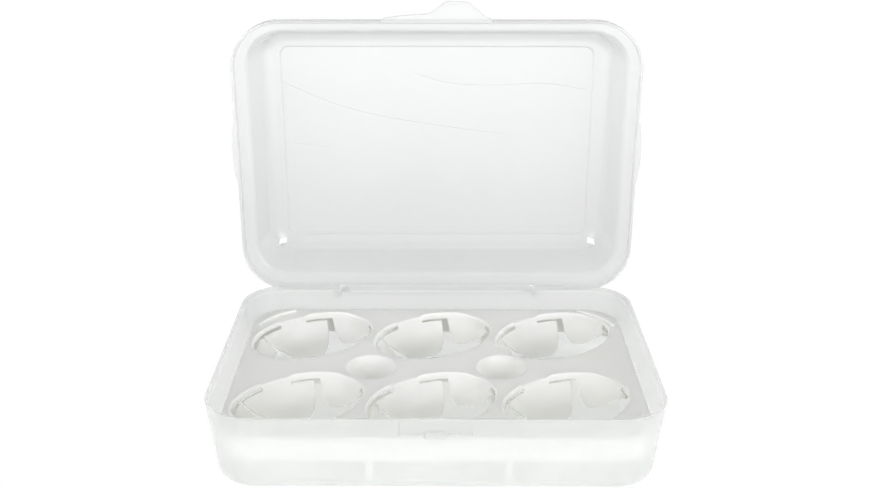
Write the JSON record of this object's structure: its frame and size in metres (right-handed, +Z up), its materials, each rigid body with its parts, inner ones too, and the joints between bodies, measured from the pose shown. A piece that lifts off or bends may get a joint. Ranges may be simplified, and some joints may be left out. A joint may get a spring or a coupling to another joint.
{
  "type": "egg carrier",
  "caption": "Clear plastic box for eggs: a tub with a white tray of slanting cups, and a clear lid hinged at the back with a thumb clip.",
  "frame": {"origin": "middle of the tub's flat underside", "axes": "+Z up, +X to the right as seen from the clip side, front (clip and catch) towards -Y, hinge towards +Y"},
  "size_m": [0.2078, 0.1785, 0.1881],
  "materials": {
    "clear_plastic": "clear, slightly milky, satin inside and glossy outside",
    "white_plastic": "milky white, satin"
  },
  "bodies": {
    "base": {"tub": "clear_plastic", "tray": "white_plastic"},
    "lid": {"lid": "clear_plastic"}
  },
  "joints": [
    {"name": "lid_hinge", "type": "hinge", "parent": "base", "child": "lid", "pos_m": [0, 0.0722, 0.0346], "axis": [1, 0, 0], "range_deg": [0, 90]}
  ]
}
